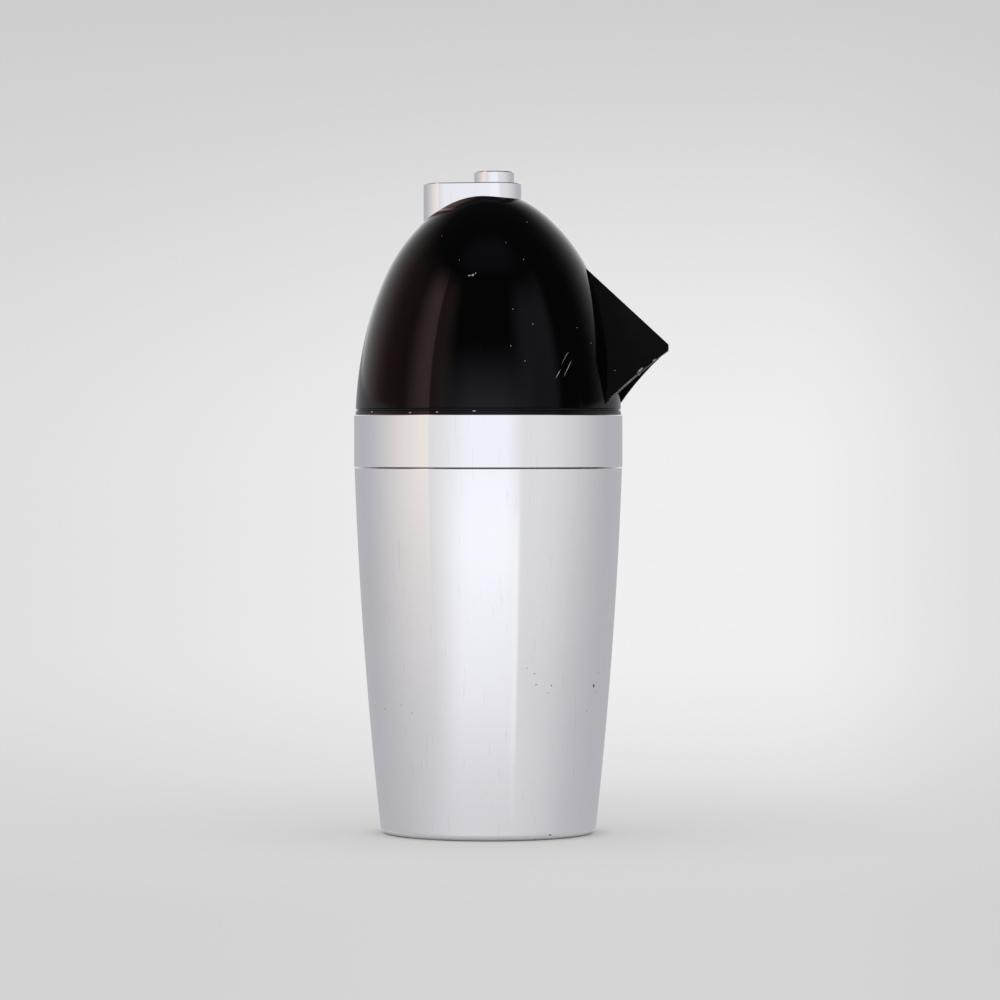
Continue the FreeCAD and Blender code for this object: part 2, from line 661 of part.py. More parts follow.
def charger_bulb():
    """A steel gas bulb with its neck down and a domed end up."""
    shoulder_z = BULB_FLOOR_Z + BULB_NECK_H
    body_z = shoulder_z + BULB_SHOULDER_H
    crown_z = PAD_FLOOR_Z - BULB_CROWN_H
    turn_r = BULB_NECK_R + (BULB_R - BULB_NECK_R) * HALF_RIGHT
    shoulder_turn_z = body_z - BULB_SHOULDER_H * HALF_RIGHT
    crown_turn_z = crown_z + BULB_CROWN_H * HALF_RIGHT
    return turned([
        (0, BULB_FLOOR_Z),
        (BULB_NECK_R - BULB_LIP, BULB_FLOOR_Z),
        (BULB_NECK_R, BULB_FLOOR_Z + BULB_LIP),
        (BULB_NECK_R, shoulder_z),
        ((turn_r, shoulder_turn_z), (BULB_R, body_z)),
        (BULB_R, crown_z),
        ((turn_r, crown_turn_z), (BULB_NECK_R, PAD_FLOOR_Z)),
        (0, PAD_FLOOR_Z),
    ], CHARGER_X)


def bulb_seal():
    return ring(PIN_R + SEATED, BULB_NECK_R + SEAL_MARGIN, SEAL_FLOOR_Z, BULB_FLOOR_Z, CHARGER_X)


def piercing_pin():
    """A hollow pin whose point stands just under the bulb's cap."""
    foot = CHECK_ROOF_Z + PIN_FOOT_RISE
    tip = BULB_FLOOR_Z - SEATED
    return turned([
        (PIN_BORE_R, foot),
        (PIN_R, foot),
        (PIN_R, tip - PIN_POINT_H),
        (PIN_TIP_R, tip),
        (PIN_BORE_R, tip),
    ], CHARGER_X)


def check_ball():
    reach = math.sqrt(CHECK_BALL_R ** 2 - CHECK_SEAT_R ** 2)
    centre = CHECK_ROOF_Z - reach
    return Part.makeSphere(CHECK_BALL_R, Vector(CHECK_X, 0, centre))


def check_spring():
    low = CHECK_LOW_Z + CHECK_PLUG_H
    high = check_ball().BoundBox.ZMin + CHECK_NEST
    return coil(CHECK_COIL_R, CHECK_WIRE_R, low, high, CHECK_TURNS, CHECK_X)


def check_plug():
    return ring(CHECK_PLUG_HOLE_R, CHECK_BORE_R - SEATED, CHECK_LOW_Z, CHECK_LOW_Z + CHECK_PLUG_H, CHECK_X)


def button():
    cap = rod(BUTTON_R, BUTTON_FLOOR_Z, BUTTON_TOP_Z, BUTTON_X)
    cap = cap.makeFillet(BUTTON_EDGE_R, top_edges(cap, BUTTON_TOP_Z))
    return cap.cut(rod(ROD_R + SEATED, BUTTON_FLOOR_Z, ROD_TOP_Z, BUTTON_X))


def push_rod():
    return rod(ROD_R, SEAT_Z, ROD_TOP_Z, BUTTON_X)


def valve_disc():
    return rod(DISC_R, DISC_FLOOR_Z, SEAT_Z, BUTTON_X)


def disc_holder():
    cup = rod(DISC_R, HOLDER_FLOOR_Z, DISC_FLOOR_Z, BUTTON_X)
    guide = rod(GUIDE_R, HOLDER_FLOOR_Z - GUIDE_H, HOLDER_FLOOR_Z, BUTTON_X)
    return cup.fuse(guide).removeSplitter()


def return_spring():
    return coil(SPRING_COIL_R, SPRING_WIRE_R, DIP_TOP_Z, HOLDER_FLOOR_Z, SPRING_TURNS, BUTTON_X)


def plug_pad():
    return ring(PAD_HOLE_R, BULB_R - PAD_MARGIN, PAD_FLOOR_Z, PLUG_FLOOR_Z, CHARGER_X)


def charger_plug():
    """A screwed plug, flush with the bridge, with a slot for a coin."""
    plug_r = BULB_BORE_R - BUTTON_GAP
    plug = rod(plug_r, PLUG_FLOOR_Z, BRIDGE_TOP_Z, CHARGER_X)
    plug = plug.makeChamfer(PLUG_EDGE, top_edges(plug, BRIDGE_TOP_Z))
    slot_corner = Vector(CHARGER_X - COIN_SLOT_W / 2, -plug_r, BRIDGE_TOP_Z - COIN_SLOT_DEPTH)
    return plug.cut(Part.makeBox(COIN_SLOT_W, 2 * plug_r, COIN_SLOT_DEPTH, slot_corner))


PIECES = [
    bottle_shell,
    bottle_neck,
    neck_gasket,
    collar_band,
    dome,
    spout_hood,
    bridge_housing,
    head_plate,
    plate_screws,
    valve_body,
    dip_tube,
    dip_tube_washer,
    dip_tube_nut,
    valve_seat,
    stem_packing,
    gland_nut,
    nozzle_tube,
    nozzle_nut,
    nozzle_tip,
    charger_tube,
    charger_bulb,
    bulb_seal,
    piercing_pin,
    check_ball,
    check_spring,
    check_plug,
    button,
    push_rod,
    valve_disc,
    disc_holder,
    return_spring,
    plug_pad,
    charger_plug,
]


def main():
    os.makedirs("parts", exist_ok=True)
    for make in PIECES:
        shape = make()
        closed = all(s.isClosed() for s in shape.Solids)
        print(make.__name__, len(shape.Solids), round(shape.Volume, 1), shape.isValid(), closed)
        shape.exportStep("parts/" + make.__name__ + ".step")


main()
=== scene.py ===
import json
import math
import random

import bmesh
import bpy
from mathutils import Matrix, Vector


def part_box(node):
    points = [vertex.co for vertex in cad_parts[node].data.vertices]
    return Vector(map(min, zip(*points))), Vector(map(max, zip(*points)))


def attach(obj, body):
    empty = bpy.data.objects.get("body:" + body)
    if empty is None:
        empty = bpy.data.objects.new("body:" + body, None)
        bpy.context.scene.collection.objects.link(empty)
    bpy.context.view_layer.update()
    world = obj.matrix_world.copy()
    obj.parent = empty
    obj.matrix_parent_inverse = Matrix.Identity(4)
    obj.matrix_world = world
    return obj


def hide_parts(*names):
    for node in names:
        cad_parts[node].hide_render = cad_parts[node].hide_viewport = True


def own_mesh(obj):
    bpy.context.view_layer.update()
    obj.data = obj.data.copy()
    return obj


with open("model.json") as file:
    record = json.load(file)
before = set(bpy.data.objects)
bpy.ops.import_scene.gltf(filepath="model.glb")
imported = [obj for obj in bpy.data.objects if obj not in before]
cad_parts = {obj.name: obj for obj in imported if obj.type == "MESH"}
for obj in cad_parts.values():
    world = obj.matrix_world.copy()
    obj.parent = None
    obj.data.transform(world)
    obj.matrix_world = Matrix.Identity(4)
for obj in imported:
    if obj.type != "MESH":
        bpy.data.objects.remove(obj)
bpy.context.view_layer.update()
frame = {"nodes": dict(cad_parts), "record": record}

MM = 0.001

# Camera: level with the band, a little to the spout's side, as the photograph shows it
CAMERA_DISTANCE = 1.7
CAMERA_HEIGHT = 0.1452
CAMERA_TURN = math.radians(12)
FRAME_WIDTH = 0.370
PICTURE_SIZE = 1000
SENSOR = 36.0
CAMERA_CLIP = (0.05, 60)
AXIS_X = 488.3
HORIZON_Y = 440.0

# Places taken from the CAD model
BOTTLE_TOP_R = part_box("bottle_shell")[1].x
BOTTLE_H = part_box("bottle_shell")[1].z
BAND_LOW, BAND_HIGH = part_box("collar_band")
HOOD_NOSE_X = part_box("spout_hood")[1].x
BRIDGE_LOW, BRIDGE_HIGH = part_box("bridge_housing")
BUTTON_LOW, BUTTON_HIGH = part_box("button")
PLUG_LOW, PLUG_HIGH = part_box("charger_plug")
BUTTON_X = (BUTTON_LOW.x + BUTTON_HIGH.x) / 2
CHARGER_X = (PLUG_LOW.x + PLUG_HIGH.x) / 2

# Bottle
BOTTLE_TAPER = 9.55 * MM
BOTTLE_BELLY = 1.1 * MM
BOTTLE_LOW_R = BOTTLE_TOP_R - BOTTLE_TAPER
BOTTLE_MID_R = (BOTTLE_TOP_R + BOTTLE_LOW_R) / 2 + BOTTLE_BELLY
BOTTLE_WALL = 1.2 * MM
BASE_CORNER_R = 3.0 * MM
RIM_R = 0.25 * MM

# Band and dome. The ease lowers the top by the end of a span of rise, as a share of the dome's height
BAND_R = BAND_HIGH.x
BAND_WALL = 1.4 * MM
BAND_EDGE_R = 0.25 * MM
DOME_R = BAND_R - 0.4 * MM
DOME_HALF_H = 88.0 * MM
DOME_CENTRE_Z = BAND_HIGH.z - 4.4 * MM
DOME_TOP_EASE = 1.15 * MM
DOME_EASE_FROM = 0.66
DOME_EASE_TO = 0.90
DOME_WALL = 1.1 * MM
GROOVE_Z = BAND_HIGH.z + 1.9 * MM
GROOVE_W = 0.7 * MM
GROOVE_DEPTH = 0.35 * MM
LIP_EDGE = 0.15 * MM
WINDOW_GAP = 0.05 * MM
NOZZLE_Z = (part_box("nozzle_nut")[0].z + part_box("nozzle_nut")[1].z) / 2
NOZZLE_HOLE_R = 3.2 * MM

# Hood. The bows bend the lower edges of the far and the near wall
HOOD_TIP_X = HOOD_NOSE_X + 1.2 * MM
HOOD_TIP_Z = BAND_HIGH.z + 24.8 * MM
HOOD_RIDGE_Z = BAND_HIGH.z + 54.1 * MM
HOOD_ROOT_Z = BAND_HIGH.z + 3.8 * MM
HOOD_ROOT_Y = 14.7 * MM
HOOD_WALL = 1.0 * MM
HOOD_OVERRUN = 1.6
HOOD_BOWS = (-1.0 * MM, -0.4 * MM)
HOOD_BOW_STEPS = 6

# Bridge, button and plug
BRIDGE_FOOT = 1.2 * MM
BRIDGE_R = BRIDGE_HIGH.x - BUTTON_X - BRIDGE_FOOT
BRIDGE_EDGE_R = 0.3 * MM
BUTTON_BORE_R = 7.41 * MM
CHARGER_BORE_R = 8.6 * MM
BUTTON_EDGE_R = 0.35 * MM
PLUG_EDGE_R = 0.4 * MM
COIN_SLOT_W = 1.8 * MM
COIN_SLOT_DEPTH = 1.9 * MM

# Fineness of the forms. A run is long beside a neighbour this many times shorter
SEGMENTS = 256
BORE_SEGMENTS = 96
HOLE_SEGMENTS = 48
SIDE_STEPS = 48
END_STEPS = 48
CORNER_STEPS = 8
LONG_RUN = 3
SMOOTH_ANGLE = 30
FOLD_ANGLE = 5

# Marks of use, and a painted highlight along the hood's near lower edge
FLAKE_RISE = 0.02 * MM
FLAKE_DEPTH = 0.05 * MM
CHIP_CORNERS = 9
SCRATCH_STEPS = 8
STRAY_SIZES = (0.3, 0.9)
STRAY_HEIGHTS = (0.08, 0.8)

# Specks at (x, y) of the picture in pixels, all of one size in millimetres
DOME_SPECK = 0.45
DOME_SPECKS = [(442, 236), (527, 222), (523.6, 259.4), (506, 242.6), (459.6, 260), (513, 309),
               (533, 324), (511, 346), (525, 361), (577, 327.6), (591, 343)]
BOTTLE_SPECK = 0.5
BOTTLE_SPECKS = [(527, 668.2), (534.4, 673.8), (548, 693), (595.8, 692.2), (586.6, 710.9),
                 (598, 673), (384.8, 708.8), (401, 705), (375, 706), (412, 713)]

# Chips at (x, y) of the picture, with a size in millimetres, a stretch and a lean in degrees
DOME_CHIPS = [(473, 275, 1.1, 1.0, 0), (469.5, 275.6, 1.0, 1.9, 0), (475.5, 273.2, 0.6, 1.5, 60)]
LIP_CHIPS = [(372, 412, 1.0, 2.4, 0), (410, 412.6, 0.8, 2.0, 0), (437, 412, 0.8, 2.0, 0),
             (474, 411, 0.9, 2.2, 0)]
BOTTLE_PITS = [(593.7, 686, 1.5, 1.0, 0), (551.4, 685.6, 0.7, 1.0, 0), (536, 684.8, 0.6, 1.0, 0)]
BASE_NOTCH = (550, 835, 1.1, 1.6, 0)
HOOD_CHIP = (615, 370.6, 0.5, 1.0, 0)

# Scratches between two points of the picture, with a width in millimetres
DOME_SCRATCHES = [(555.5, 378.5, 560.5, 369.5, 0.24), (564, 376, 571.5, 360.5, 0.24),
                  (561.5, 364, 568.5, 351.5, 0.14)]
# Bright strips along the hood's near lower edge: a painted highlight of that edge, together with its wear
HOOD_EDGE_HIGHLIGHT_AND_WEAR = [(646, 366.6, 608.5, 399.6, 0.26), (643, 367.3, 637, 373, 0.55), (656, 359.0, 652.5, 361.6, 0.5)]

# Light levels are linear, where 1 is white
PLAIN_LIGHT = 0.95

# Soft upright strips of light round the object: degrees round from the camera, positive to the right, as
# (from, to, soft edges), and the colour that each adds to an even light
WALL_LIGHT = (0.46, 0.46, 0.495)
WALL_STRIPS = [
    ((-45, 40, 95, 90), (0.31, 0.31, 0.31)),
    ((-10, 12, 42, 22), (0.17, 0.17, 0.215)),
    ((-58, -53, 70, 1), (0.12, 0.065, 0.0)),
]
TABLE_LIGHT = (0.475, 0.475, 0.51)
TABLE_STRIPS = [((-20, 0, 100, 120), (0.20, 0.20, 0.205))]
TABLE_BLEND = (1.0, 15.0)
ROOM_BLEND = (3.4, 4.4)

# Soft panels of light: degrees round from the camera, degrees up, and the colour that each adds
TABLE_PANELS = [
    ((25, 50, 6, 40), (-14, -9, 4, 5), (0.04, 0.04, 0.04)),
    ((-18, 25, 42, 4), (-11.2, -8.0, 6.3, 6.0), (0.175, 0.175, 0.185)),
]
ROOM_LIGHT = (0.045, 0.04, 0.05, 1)
ROOM_PANELS = [
    ((-8, 8, 50, 38), (-5, 2, 5, 24), (0.72, 0.70, 0.86)),
    ((-57, -53, 26, 1.5), (-5, 34, 5, 16), (1.38, 0.92, 0.83)),
    ((-51, -43, 1.5, 15), (-5, 36, 5, 14), (0.42, 0.27, 0.24)),
    ((38, 58, 20, 12), (-5, 30, 5, 20), (0.30, 0.28, 0.32)),
    ((-25, 25, 40, 40), (58, 68, 12, 16), (0.08, 0.08, 0.13)),
    ((-120, -88, 30, 28), (-5, 30, 5, 26), (0.24, 0.12, 0.105)),
]
BACK_PANEL = ((170, 181, 72, 1), (-5, 14, 5, 46), (1.0, 1.0, 1.0))

# Backdrop: bright behind the object, dimmer up and to the sides, and a pale table below, all in degrees
BACKDROP_DIM = 0.61
BACKDROP_BRIGHT = 0.867
BACKDROP_TABLE = 0.67
BACKDROP_TABLE_EDGE = (-5.75, -2.5)
BACKDROP_TOP_EDGE = (-0.5, 6.5)
BACKDROP_SIDES = (1.9, 3.6, 9.85, 3.1)
BACKDROP_SIDE_SHARE = 0.5

# Floor: its light, the radii where it fades into the backdrop, and the share that takes shadow
FLOOR_R = 0.5
FLOOR_FADE = (0.08, 0.32)
FLOOR_GLOSS = (0.040, 0.043)
FLOOR_LEVEL = 0.694
FLOOR_SHADE = 0.55
FLOOR_FOOT = (0.038, 0.048)


# Mesh helpers

def link(obj):
    bpy.context.scene.collection.objects.link(obj)
    return obj


def mesh_object(name, bm, materials, smooth_angle=SMOOTH_ANGLE):
    """A mesh object from a bmesh, shaded smooth except over sharp edges."""
    bmesh.ops.recalc_face_normals(bm, faces=bm.faces)
    limit = math.radians(smooth_angle)
    for face in bm.faces:
        face.smooth = True
    for edge in bm.edges:
        if len(edge.link_faces) == 2 and edge.calc_face_angle() > limit:
            edge.smooth = False
    mesh = bpy.data.meshes.new(name)
    bm.to_mesh(mesh)
    bm.free()
    for made in materials:
        mesh.materials.append(made)
    return link(bpy.data.objects.new(name, mesh))


def arc(centre_r, centre_z, radius, start, end, steps=CORNER_STEPS):
    """Points (radius, height) on an arc between two angles in degrees."""
    angles = [math.radians(start + (end - start) * step / steps) for step in range(steps + 1)]
    return [(centre_r + radius * math.cos(a), centre_z + radius * math.sin(a)) for a in angles]


def supported(profile):
    """The profile with a ring near each end of a long run beside a short one, so that it shades flat."""
    lengths = [math.dist(a, b) for a, b in zip(profile, profile[1:])]
    held = [profile[0]]
    for index, (start, end) in enumerate(zip(profile, profile[1:])):
        length = lengths[index]
        before = lengths[index - 1] if index else length
        after = lengths[index + 1] if index + 1 < len(lengths) else length
        shares = []
        if length > LONG_RUN * before:
            shares.append(before / length)
        if length > LONG_RUN * after:
            shares.append(1 - after / length)
        for share in shares:
            held.append(tuple(a + (b - a) * share for a, b in zip(start, end)))
        held.append(end)
    return held


def turn(bm, profile, centre_x=0.0, closed=False, segments=SEGMENTS):
    """Turns (radius, height) points about an upright line. A point on the line closes the form."""
    profile = supported(profile)
    angles = [2 * math.pi * step / segments for step in range(segments)]
    rings = []
    for radius, z in profile:
        if radius == 0:
            rings.append([bm.verts.new((centre_x, 0, z))])
        else:
            places = [(centre_x + radius * math.cos(a), radius * math.sin(a), z) for a in angles]
            rings.append([bm.verts.new(place) for place in places])
    pairs = list(zip(rings, rings[1:]))
    if closed:
        pairs.append((rings[-1], rings[0]))
    for lower, upper in pairs:
        for here in range(segments):
            there = (here + 1) % segments
            corners = [
                lower[here % len(lower)],
                lower[there % len(lower)],
                upper[there % len(upper)],
                upper[here % len(upper)],
            ]
            bm.faces.new(list(dict.fromkeys(corners)))


def turned_object(name, profile, material, centre_x=0.0, closed=False):
    bm = bmesh.new()
    turn(bm, profile, centre_x, closed)
    return mesh_object(name, bm, [material])


def cut(obj, cutters, smooth_angle=SMOOTH_ANGLE):
    """Takes cutter objects away from an object, and shades the result anew."""
    for cutter in cutters:
        modifier = obj.modifiers.new("cut", "BOOLEAN")
        modifier.operation = "DIFFERENCE"
        modifier.solver = "EXACT"
        modifier.object = cutter
    depsgraph = bpy.context.evaluated_depsgraph_get()
    cut_mesh = bpy.data.meshes.new_from_object(obj.evaluated_get(depsgraph))
    obj.modifiers.clear()
    bm = bmesh.new()
    bm.from_mesh(cut_mesh)
    name, materials = obj.name, list(obj.data.materials)
    for spent in [obj] + cutters:
        bpy.data.objects.remove(spent)
    made = mesh_object(name, bm, materials, smooth_angle)
    made.name = name
    return made


def rod(radius, low, high, x=0.0):
    """An upright cylinder to cut with."""
    bm = bmesh.new()
    turn(bm, [(0, low), (radius, low), (radius, high), (0, high)], x, segments=BORE_SEGMENTS)
    return mesh_object("cutter", bm, [])


def stadium_outline(radius, steps=END_STEPS):
    """Points round a bar with round ends about the button and the charger."""
    points = []
    for centre_x, start in ((BUTTON_X, -90), (CHARGER_X, 90)):
        for step in range(steps + 1):
            angle = math.radians(start + 180 * step / steps)
            points.append((centre_x + radius * math.cos(angle), radius * math.sin(angle)))
    return points


def stadium(profile):
    """A closed bar with round ends, whose radius follows (radius, height) points."""
    bm = bmesh.new()
    rings = []
    for radius, z in supported(profile):
        rings.append([bm.verts.new((x, y, z)) for x, y in stadium_outline(radius)])
    for lower, upper in zip(rings, rings[1:]):
        for here in range(len(lower)):
            there = (here + 1) % len(lower)
            bm.faces.new((lower[here], lower[there], upper[there], upper[here]))
    bm.faces.new(rings[0])
    bm.faces.new(rings[-1])
    return bm


# Node helpers

def material(name):
    """A new node material, with its tree, links and Principled shader."""
    made = bpy.data.materials.new(name)
    made.use_nodes = True
    tree = made.node_tree
    return made, tree, tree.links, tree.nodes["Principled BSDF"]


def feed(links, socket, value):
    """Sets a socket from a number or colour, or links it to another socket."""
    if isinstance(value, bpy.types.NodeSocket):
        links.new(value, socket)
    else:
        socket.default_value = value


def math_node(tree, operation, a, b=0.0):
    node = tree.nodes.new("ShaderNodeMath")
    node.operation = operation
    feed(tree.links, node.inputs[0], a)
    feed(tree.links, node.inputs[1], b)
    return node.outputs[0]


def smooth(tree, value, low, high):
    """0 below low, 1 above high, and a smooth step between."""
    node = tree.nodes.new("ShaderNodeMapRange")
    node.interpolation_type = "SMOOTHSTEP"
    feed(tree.links, node.inputs["Value"], value)
    node.inputs["From Min"].default_value = low
    node.inputs["From Max"].default_value = high
    return node.outputs["Result"]


def between(tree, value, low, high, low_edge, high_edge):
    """1 from low to high, with a soft edge outside each."""
    rise = smooth(tree, value, low - low_edge, low)
    fall = smooth(tree, value, high, high + high_edge)
    return math_node(tree, "MULTIPLY", rise, math_node(tree, "SUBTRACT", 1.0, fall))


def mix(tree, factor, a, b, blend="MIX"):
    node = tree.nodes.new("ShaderNodeMix")
    node.data_type = "RGBA"
    node.blend_type = blend
    feed(tree.links, node.inputs["Factor"], factor)
    feed(tree.links, node.inputs["A"], a)
    feed(tree.links, node.inputs["B"], b)
    return node.outputs["Result"]


def noise(tree, scale, detail, coordinates):
    node = tree.nodes.new("ShaderNodeTexNoise")
    node.inputs["Scale"].default_value = scale
    node.inputs["Detail"].default_value = detail
    tree.links.new(coordinates, node.inputs["Vector"])
    return node.outputs["Fac"]


def object_place(tree):
    return tree.nodes.new("ShaderNodeTexCoord").outputs["Object"]


def stretched(tree, place, stretch):
    """Object coordinates scaled along each axis."""
    node = tree.nodes.new("ShaderNodeMapping")
    tree.links.new(place, node.inputs["Vector"])
    node.inputs["Scale"].default_value = stretch
    return node.outputs["Vector"]


def bump(tree, shader, height, strength, distance):
    node = tree.nodes.new("ShaderNodeBump")
    node.inputs["Strength"].default_value = strength
    node.inputs["Distance"].default_value = distance
    tree.links.new(height, node.inputs["Height"])
    tree.links.new(node.outputs["Normal"], shader.inputs["Normal"])


def grey(level):
    return (level, level, level, 1)


# Materials

def chrome_material():
    """Bright plate: faint clouds of wear and fine upright polishing marks."""
    made, tree, links, shader = material("chrome_plate")
    place = object_place(tree)
    clouds = noise(tree, 28.0, 4.0, place)
    marks = noise(tree, 900.0, 2.0, stretched(tree, place, (1, 1, 0.06)))
    tone = mix(tree, clouds, (0.905, 0.905, 0.91, 1), (0.945, 0.945, 0.945, 1))
    links.new(mix(tree, smooth(tree, marks, 0.62, 0.80), tone, grey(0.86)), shader.inputs["Base Color"])
    dull = math_node(tree, "MULTIPLY", clouds, 0.05)
    dull = math_node(tree, "ADD", dull, math_node(tree, "MULTIPLY", marks, 0.03))
    links.new(math_node(tree, "ADD", dull, 0.01), shader.inputs["Roughness"])
    shader.inputs["Metallic"].default_value = 1.0
    return made


def enamel_material(name, black, wear):
    """Black stoving enamel: glossy, with a slight orange peel, rubbed patches and hairline scratches."""
    made, tree, links, shader = material(name)
    place = object_place(tree)
    hair = noise(tree, 260.0, 3.0, stretched(tree, place, (1.0, 1.0, 0.12)))
    rubbed = smooth(tree, noise(tree, 45.0, 5.0, place), 0.45, 0.75)
    links.new(mix(tree, rubbed, grey(black), grey(black * 1.6)), shader.inputs["Base Color"])
    peel = noise(tree, 420.0, 1.0, place)
    bump(tree, shader, peel, 0.04 * wear, 0.02 * MM)
    dull = math_node(tree, "MULTIPLY", smooth(tree, hair, 0.58, 0.78), 0.08 * wear)
    dull = math_node(tree, "ADD", dull, math_node(tree, "MULTIPLY", rubbed, 0.03))
    links.new(math_node(tree, "ADD", dull, 0.06), shader.inputs["Roughness"])
    shader.inputs["Specular IOR Level"].default_value = 0.25
    return made


def metal_material(name, colour, rough, metallic=1.0):
    """A plain inner metal with the turning marks that a lathe leaves."""
    made, tree, links, shader = material(name)
    place = object_place(tree)
    rings = noise(tree, 500.0, 2.0, stretched(tree, place, (0.1, 0.1, 4.0)))
    darker = tuple(0.8 * part for part in colour) + (1,)
    links.new(mix(tree, rings, darker, colour + (1,)), shader.inputs["Base Color"])
    spread = math_node(tree, "MULTIPLY", rings, 0.15)
    links.new(math_node(tree, "ADD", spread, rough), shader.inputs["Roughness"])
    shader.inputs["Metallic"].default_value = metallic
    return made


def rubber_material():
    made, tree, links, shader = material("rubber")
    grain = noise(tree, 900.0, 3.0, object_place(tree))
    links.new(mix(tree, grain, grey(0.012), grey(0.03)), shader.inputs["Base Color"])
    bump(tree, shader, grain, 0.3, 0.05 * MM)
    shader.inputs["Roughness"].default_value = 0.65
    return made


chrome = chrome_material()
enamel = enamel_material("dome_enamel", 0.0006, 1.0)
hood_enamel = enamel_material("hood_enamel", 0.0042, 2.0)
# Bare metal: chips in the enamel, and the painted highlight along the hood's near lower edge
bare_metal_and_highlight = metal_material("bare_metal_and_highlight", (0.62, 0.61, 0.60), 0.35, 0.6)
pit_metal = metal_material("pit_metal", (0.12, 0.11, 0.10), 0.5, 0.3)
steel = metal_material("steel", (0.55, 0.55, 0.56), 0.28)
brass = metal_material("brass", (0.72, 0.52, 0.25), 0.25)
rubber = rubber_material()
SLOT_MATERIALS = {
    "chrome": chrome,
    "black_enamel": enamel,
    "brass": brass,
    "steel": steel,
    "rubber": rubber,
}


# Shape helpers of the bottle and the dome

def side_circle():
    """Centre (radius, height) and radius of the arc that the bottle's side follows."""
    (x1, z1), (x2, z2), (x3, z3) = (
        (BOTTLE_LOW_R, BASE_CORNER_R),
        (BOTTLE_MID_R, BOTTLE_H / 2),
        (BOTTLE_TOP_R, BOTTLE_H),
    )
    turn_of = 2 * (x1 * (z2 - z3) + x2 * (z3 - z1) + x3 * (z1 - z2))
    s1, s2, s3 = x1 * x1 + z1 * z1, x2 * x2 + z2 * z2, x3 * x3 + z3 * z3
    centre_r = (s1 * (z2 - z3) + s2 * (z3 - z1) + s3 * (z1 - z2)) / turn_of
    centre_z = (s1 * (x3 - x2) + s2 * (x1 - x3) + s3 * (x2 - x1)) / turn_of
    return centre_r, centre_z, math.hypot(x1 - centre_r, z1 - centre_z)


SIDE_CENTRE_R, SIDE_CENTRE_Z, SIDE_R = side_circle()


def bottle_radius(z):
    return SIDE_CENTRE_R + math.sqrt(SIDE_R ** 2 - (z - SIDE_CENTRE_Z) ** 2)


def dome_radius(z):
    share = (z - DOME_CENTRE_Z) / DOME_HALF_H
    return DOME_R * math.sqrt(max(0.0, 1 - share * share))


def dome_point(angle, wall=0.0):
    """A point (radius, height) of the dome's outside or inside, at an angle up from its middle."""
    rise = math.sin(angle)
    share = min(1.0, max(0.0, (rise - DOME_EASE_FROM) / (DOME_EASE_TO - DOME_EASE_FROM)))
    ease = DOME_TOP_EASE * share * share * (3 - 2 * share)
    return (DOME_R - wall) * math.cos(angle), DOME_CENTRE_Z + (DOME_HALF_H - wall) * rise - ease


def side_points(low, high, radius_at, offset=0.0, steps=SIDE_STEPS):
    """Points (radius, height) up a wall between two heights."""
    heights = [low + (high - low) * step / steps for step in range(steps + 1)]
    return [(radius_at(z) - offset, z) for z in heights]


# Pieces

def bottle():
    floor_r = BOTTLE_LOW_R - BASE_CORNER_R
    rim_z = BOTTLE_H - RIM_R
    rim_r = bottle_radius(rim_z)
    profile = [(0, 0)]
    profile += arc(floor_r, BASE_CORNER_R, BASE_CORNER_R, -90, 0)
    profile += side_points(BASE_CORNER_R, rim_z, bottle_radius)[1:]
    profile += arc(rim_r - RIM_R, rim_z, RIM_R, 0, 180, CORNER_STEPS)[1:]
    profile += side_points(rim_z, BASE_CORNER_R, bottle_radius, BOTTLE_WALL)
    profile += arc(floor_r, BASE_CORNER_R, BASE_CORNER_R - BOTTLE_WALL, 0, -90)[1:]
    profile += [(0, BOTTLE_WALL)]
    made = turned_object("bottle_chrome", profile, chrome)
    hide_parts("bottle_shell")
    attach(made, "bottle")
    return made


def band():
    inner_r = BAND_R - BAND_WALL
    edge = BAND_EDGE_R
    profile = [(inner_r, BAND_LOW.z)]
    profile += arc(BAND_R - edge, BAND_LOW.z + edge, edge, -90, 0)
    profile += arc(BAND_R - edge, BAND_HIGH.z - edge, edge, 0, 90)
    profile += [(inner_r, BAND_HIGH.z)]
    made = turned_object("band_chrome", profile, chrome, closed=True)
    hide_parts("collar_band")
    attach(made, "head")
    return made


def dome_profile():
    """Up the outside from the lip, over the groove and the top, and down the inside."""
    lip_z = BAND_HIGH.z
    groove_low = GROOVE_Z - GROOVE_W / 2
    groove_high = GROOVE_Z + GROOVE_W / 2
    profile = [(dome_radius(lip_z) - LIP_EDGE, lip_z), (dome_radius(lip_z), lip_z + LIP_EDGE)]
    profile += [(dome_radius(groove_low), groove_low - LIP_EDGE)]
    profile += [(dome_radius(GROOVE_Z) - GROOVE_DEPTH, groove_low + LIP_EDGE)]
    profile += [(dome_radius(GROOVE_Z) - GROOVE_DEPTH, groove_high - LIP_EDGE)]
    start = math.asin((groove_high + LIP_EDGE - DOME_CENTRE_Z) / DOME_HALF_H)
    steps = 2 * SIDE_STEPS
    for step in range(steps):
        angle = start + (math.pi / 2 - start) * step / steps
        profile.append(dome_point(angle))
    profile += [(0, dome_point(math.pi / 2)[1])]
    return profile


def dome():
    inner_half_h = DOME_HALF_H - DOME_WALL
    start = math.asin((BAND_HIGH.z - DOME_CENTRE_Z) / inner_half_h)
    inner = []
    for step in range(SIDE_STEPS + 1):
        angle = math.pi / 2 + (start - math.pi / 2) * step / SIDE_STEPS
        radius, height = dome_point(angle, DOME_WALL)
        inner.append((radius if step else 0, height))
    bm = bmesh.new()
    turn(bm, dome_profile())
    turn(bm, inner)
    close_rims(bm)
    made = mesh_object("dome_enamel", bm, [enamel])
    window = mesh_object("cutter", stadium([
        (BRIDGE_R + WINDOW_GAP, BRIDGE_LOW.z),
        (BRIDGE_R + WINDOW_GAP, BRIDGE_HIGH.z),
    ]), [])
    made = cut(made, [window, nozzle_hole()])
    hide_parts("dome")
    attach(made, "head")
    return made


